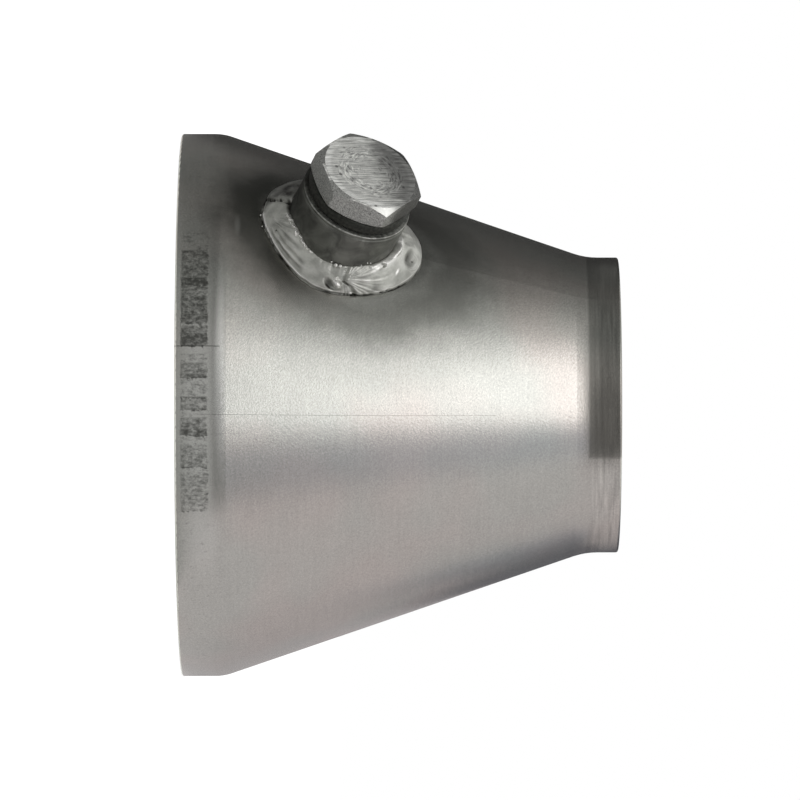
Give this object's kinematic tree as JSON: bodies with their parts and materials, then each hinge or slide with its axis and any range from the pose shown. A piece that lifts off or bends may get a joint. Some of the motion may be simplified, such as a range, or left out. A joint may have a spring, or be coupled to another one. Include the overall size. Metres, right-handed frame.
{
  "type": "exhaust pipe reducer",
  "caption": "Cone reducer for an exhaust pipe, with a straight collar at each end and a welded sensor boss closed by a hexagon head screw plug.",
  "frame": {"origin": "centre of the big end's face, on the pipe's axis", "axes": "+Z along the pipe's axis from the big end to the small end; the sensor boss leans out of the wall towards +X. The part stands on its big end."},
  "size_m": [0.1391, 0.124, 0.0995],
  "materials": {
    "formed_sheet": "satin, grey with a dark heat stain round the weld",
    "turned_boss": "turned, dulled by heat",
    "weld_metal": "as laid, smooth and rippled",
    "dark_ring": "dark and dull",
    "plug_steel": "faced top with scratches, matte flats"
  },
  "bodies": {
    "root": {"reducer_body": "formed_sheet", "sensor_boss": "turned_boss", "weld_bead": "weld_metal", "seal_ring": "dark_ring", "screw_plug": "plug_steel"}
  },
  "joints": []
}
